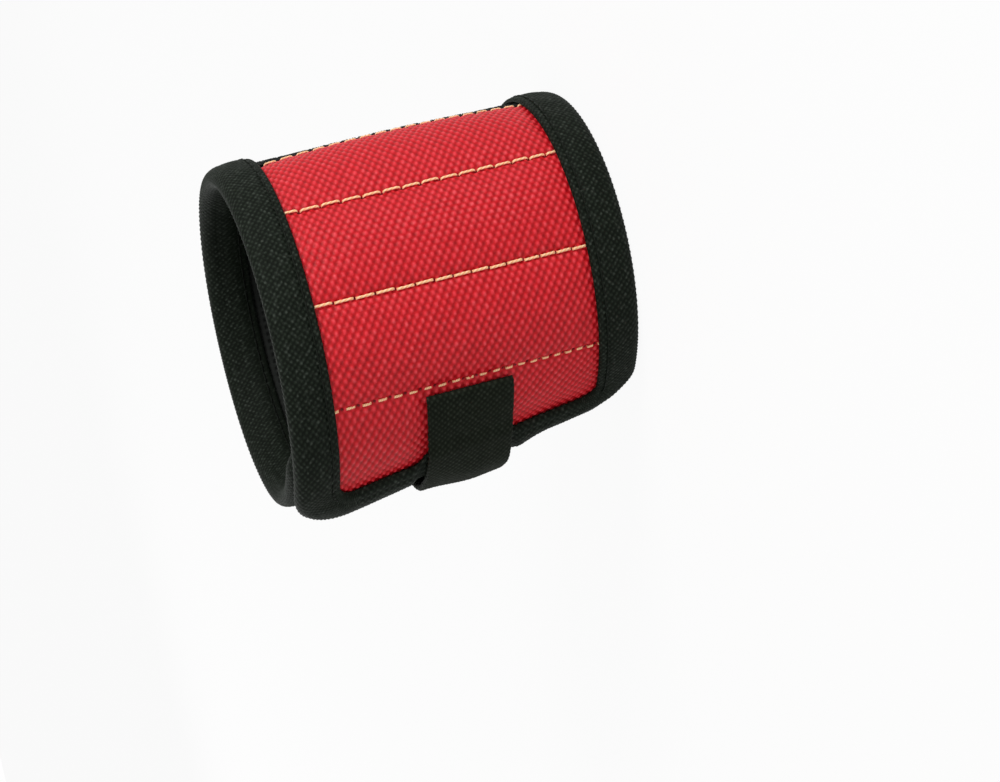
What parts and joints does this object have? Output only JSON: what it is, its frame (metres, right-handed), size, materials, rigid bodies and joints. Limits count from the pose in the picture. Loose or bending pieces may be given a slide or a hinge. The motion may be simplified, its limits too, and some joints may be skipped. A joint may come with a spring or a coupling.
{
  "type": "magnetic wristband",
  "caption": "Magnetic tool wristband: a padded cloth band with sewn magnet pockets, bound edges and a hook-and-loop strap, fastened in a ring.",
  "frame": {"origin": "under the middle of the ring's box, on the plane of its hand-side rim", "axes": "+Z along the ring from the hand-side rim to the forearm-side rim, -Y out of the front with the magnet pockets, +X to the top of the ring as worn in the picture"},
  "size_m": [0.0814, 0.0792, 0.08],
  "materials": {
    "cover": "coarse red woven polyester",
    "binding": "black woven tape",
    "lining": "black knitted mesh",
    "loop_pile": "black brushed loop pile",
    "strap": "black woven webbing",
    "hook_tape": "black moulded hooks",
    "wadding": "white felt",
    "thread": "orange-yellow sewing thread",
    "magnet": "nickel plated"
  },
  "bodies": {
    "upper_pocket": {"upper_pocket_cover": "cover", "upper_pocket_wadding": "wadding", "upper_pocket_lining": "lining", "upper_pocket_binding_hand": "binding", "upper_pocket_binding_arm": "binding", "upper_pocket_magnet_1": "magnet", "upper_pocket_magnet_2": "magnet", "upper_pocket_magnet_3": "magnet", "stitch_row_1": "thread"},
    "middle_pocket": {"middle_pocket_cover": "cover", "middle_pocket_wadding": "wadding", "middle_pocket_lining": "lining", "middle_pocket_binding_hand": "binding", "middle_pocket_binding_arm": "binding", "middle_pocket_magnet_1": "magnet", "middle_pocket_magnet_2": "magnet", "middle_pocket_magnet_3": "magnet", "stitch_row_2": "thread", "stitch_row_3": "thread"},
    "lower_pocket": {"lower_pocket_cover": "cover", "lower_pocket_wadding": "wadding", "lower_pocket_lining": "lining", "lower_pocket_binding_hand": "binding", "lower_pocket_binding_arm": "binding", "lower_pocket_magnet_1": "magnet", "lower_pocket_magnet_2": "magnet", "lower_pocket_magnet_3": "magnet", "stitch_row_4": "thread"},
    "end_row": {"end_row_cover": "cover", "end_row_wadding": "wadding", "end_row_lining": "lining", "end_row_binding": "binding", "strap_base": "strap"},
    "strap": {"strap_root": "strap", "strap_root_hook_tape": "hook_tape"},
    "strap_tip": {"strap_tip": "strap", "strap_tip_hook_tape": "hook_tape"},
    "loop_upper": {"loop_upper_pile": "loop_pile", "loop_upper_backing": "lining", "loop_upper_binding_hand": "binding", "loop_upper_binding_arm": "binding"},
    "loop_middle": {"loop_middle_pile": "loop_pile", "loop_middle_backing": "lining", "loop_middle_binding_hand": "binding", "loop_middle_binding_arm": "binding"},
    "loop_tail": {"loop_tail_pile": "loop_pile", "loop_tail_backing": "lining", "loop_tail_binding": "binding"}
  },
  "joints": [
    {"name": "band_open", "type": "hinge", "parent": "middle_pocket", "child": "lower_pocket", "pos_m": [0.00441, -0.03692, 0.04], "axis": [-0.0036, -0.0554, 0.9985], "range_deg": [0, 36]},
    {"name": "end_row_fold", "type": "hinge", "parent": "lower_pocket", "child": "end_row", "pos_m": [-0.01806, -0.03186, 0.04], "axis": [-0.0161, -0.1123, 0.9935], "range_deg": [0, 36.01]},
    {"name": "upper_pocket_fold", "type": "hinge", "parent": "middle_pocket", "child": "upper_pocket", "pos_m": [0.02581, -0.02819, 0.04], "axis": [0.0172, 0.0229, -0.9996], "range_deg": [0, 25.01]},
    {"name": "loop_upper_fold", "type": "hinge", "parent": "upper_pocket", "child": "loop_upper", "pos_m": [0.03839, -0.00877, 0.04], "axis": [0.0273, 0.0167, -0.9995], "range_deg": [0, 15.01]},
    {"name": "loop_middle_fold", "type": "hinge", "parent": "loop_upper", "child": "loop_middle", "pos_m": [0.01547, 0.03523, 0.04], "axis": [0.0992, -0.0729, -0.9924], "range_deg": [0, 20.01]},
    {"name": "loop_tail_fold", "type": "hinge", "parent": "loop_middle", "child": "loop_tail", "pos_m": [-0.02707, 0.01849, 0.04], "axis": [0.1758, 0.0293, -0.984], "range_deg": [0, 25.01]},
    {"name": "strap_peel", "type": "hinge", "parent": "end_row", "child": "strap", "pos_m": [-0.03852, -0.00516, 0.0404], "axis": [-0.1166, -0.1867, 0.9755], "range_deg": [0, 100]},
    {"name": "strap_tip_fold", "type": "hinge", "parent": "strap", "child": "strap_tip", "pos_m": [-0.02922, 0.01863, 0.0404], "axis": [-0.1773, -0.0359, 0.9835], "range_deg": [0, 35.01]}
  ],
  "couplings": [
    {"joint": "end_row_fold", "follows": "band_open", "ratio": 1},
    {"joint": "upper_pocket_fold", "follows": "band_open", "ratio": 0.69444},
    {"joint": "loop_upper_fold", "follows": "band_open", "ratio": 0.41667},
    {"joint": "loop_middle_fold", "follows": "band_open", "ratio": 0.55556},
    {"joint": "loop_tail_fold", "follows": "band_open", "ratio": 0.69444},
    {"joint": "strap_tip_fold", "follows": "strap_peel", "ratio": 0.35}
  ]
}
